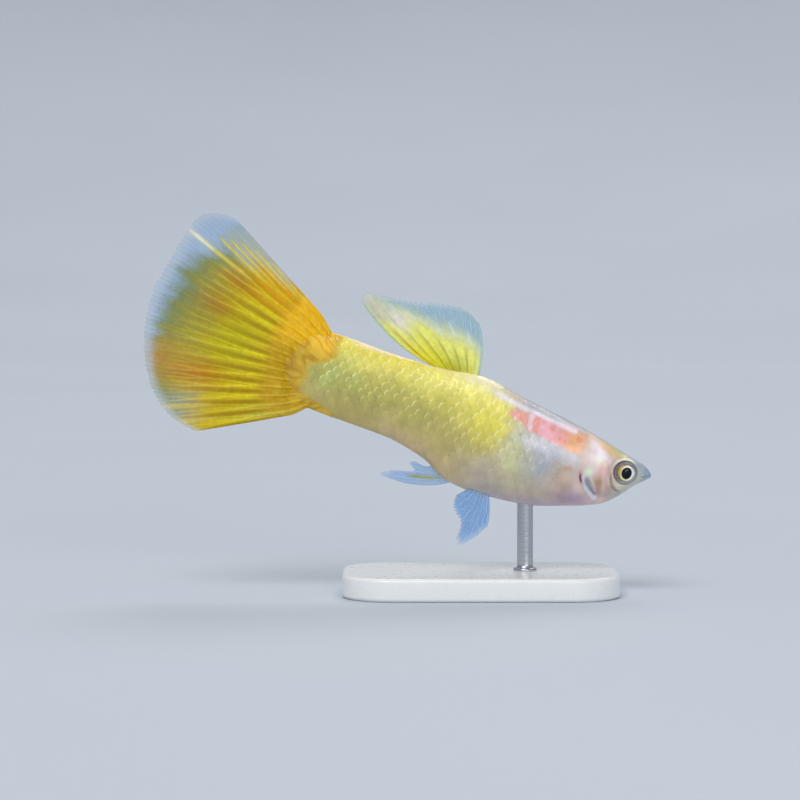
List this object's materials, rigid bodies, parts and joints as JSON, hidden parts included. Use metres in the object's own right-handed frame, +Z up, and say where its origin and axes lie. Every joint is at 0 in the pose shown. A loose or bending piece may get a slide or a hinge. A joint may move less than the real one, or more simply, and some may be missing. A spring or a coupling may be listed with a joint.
{
  "type": "fancy guppy",
  "caption": "Life-size still model of a male fancy guppy with a fanned yellow tail fin and clear paired fins, held nose down by a rod on a flat display base.",
  "frame": {"origin": "under the centre of the whole model's bounding box, on the surface that the base rests on", "axes": "+X from tail to head along the longest side, +Y to the fish's left, +Z up; the fish's own axis points 18 degrees nose down"},
  "size_m": [0.044, 0.015, 0.0325],
  "materials": {
    "skin": "wet, scaled, pearly",
    "gill_skin": "wet, pearly",
    "yellow_fin": "satin membrane with raised rays",
    "clear_fin": "clear membrane with raised rays",
    "eye": "wet, clear over a silver ring",
    "stand_acrylic": "satin",
    "stand_steel": "brushed"
  },
  "bodies": {
    "root": {"head": "skin", "trunk": "skin", "tail_stem": "skin", "dorsal_fin": "yellow_fin", "caudal_fin": "yellow_fin", "anal_fin": "clear_fin", "gill_cover_left": "gill_skin", "gill_cover_right": "gill_skin", "eye_left": "eye", "eye_right": "eye", "pectoral_fin_left": "clear_fin", "pectoral_fin_right": "clear_fin", "pelvic_fin_left": "clear_fin", "pelvic_fin_right": "clear_fin", "stand_base": "stand_acrylic", "stand_rod_1": "stand_steel"}
  },
  "joints": []
}
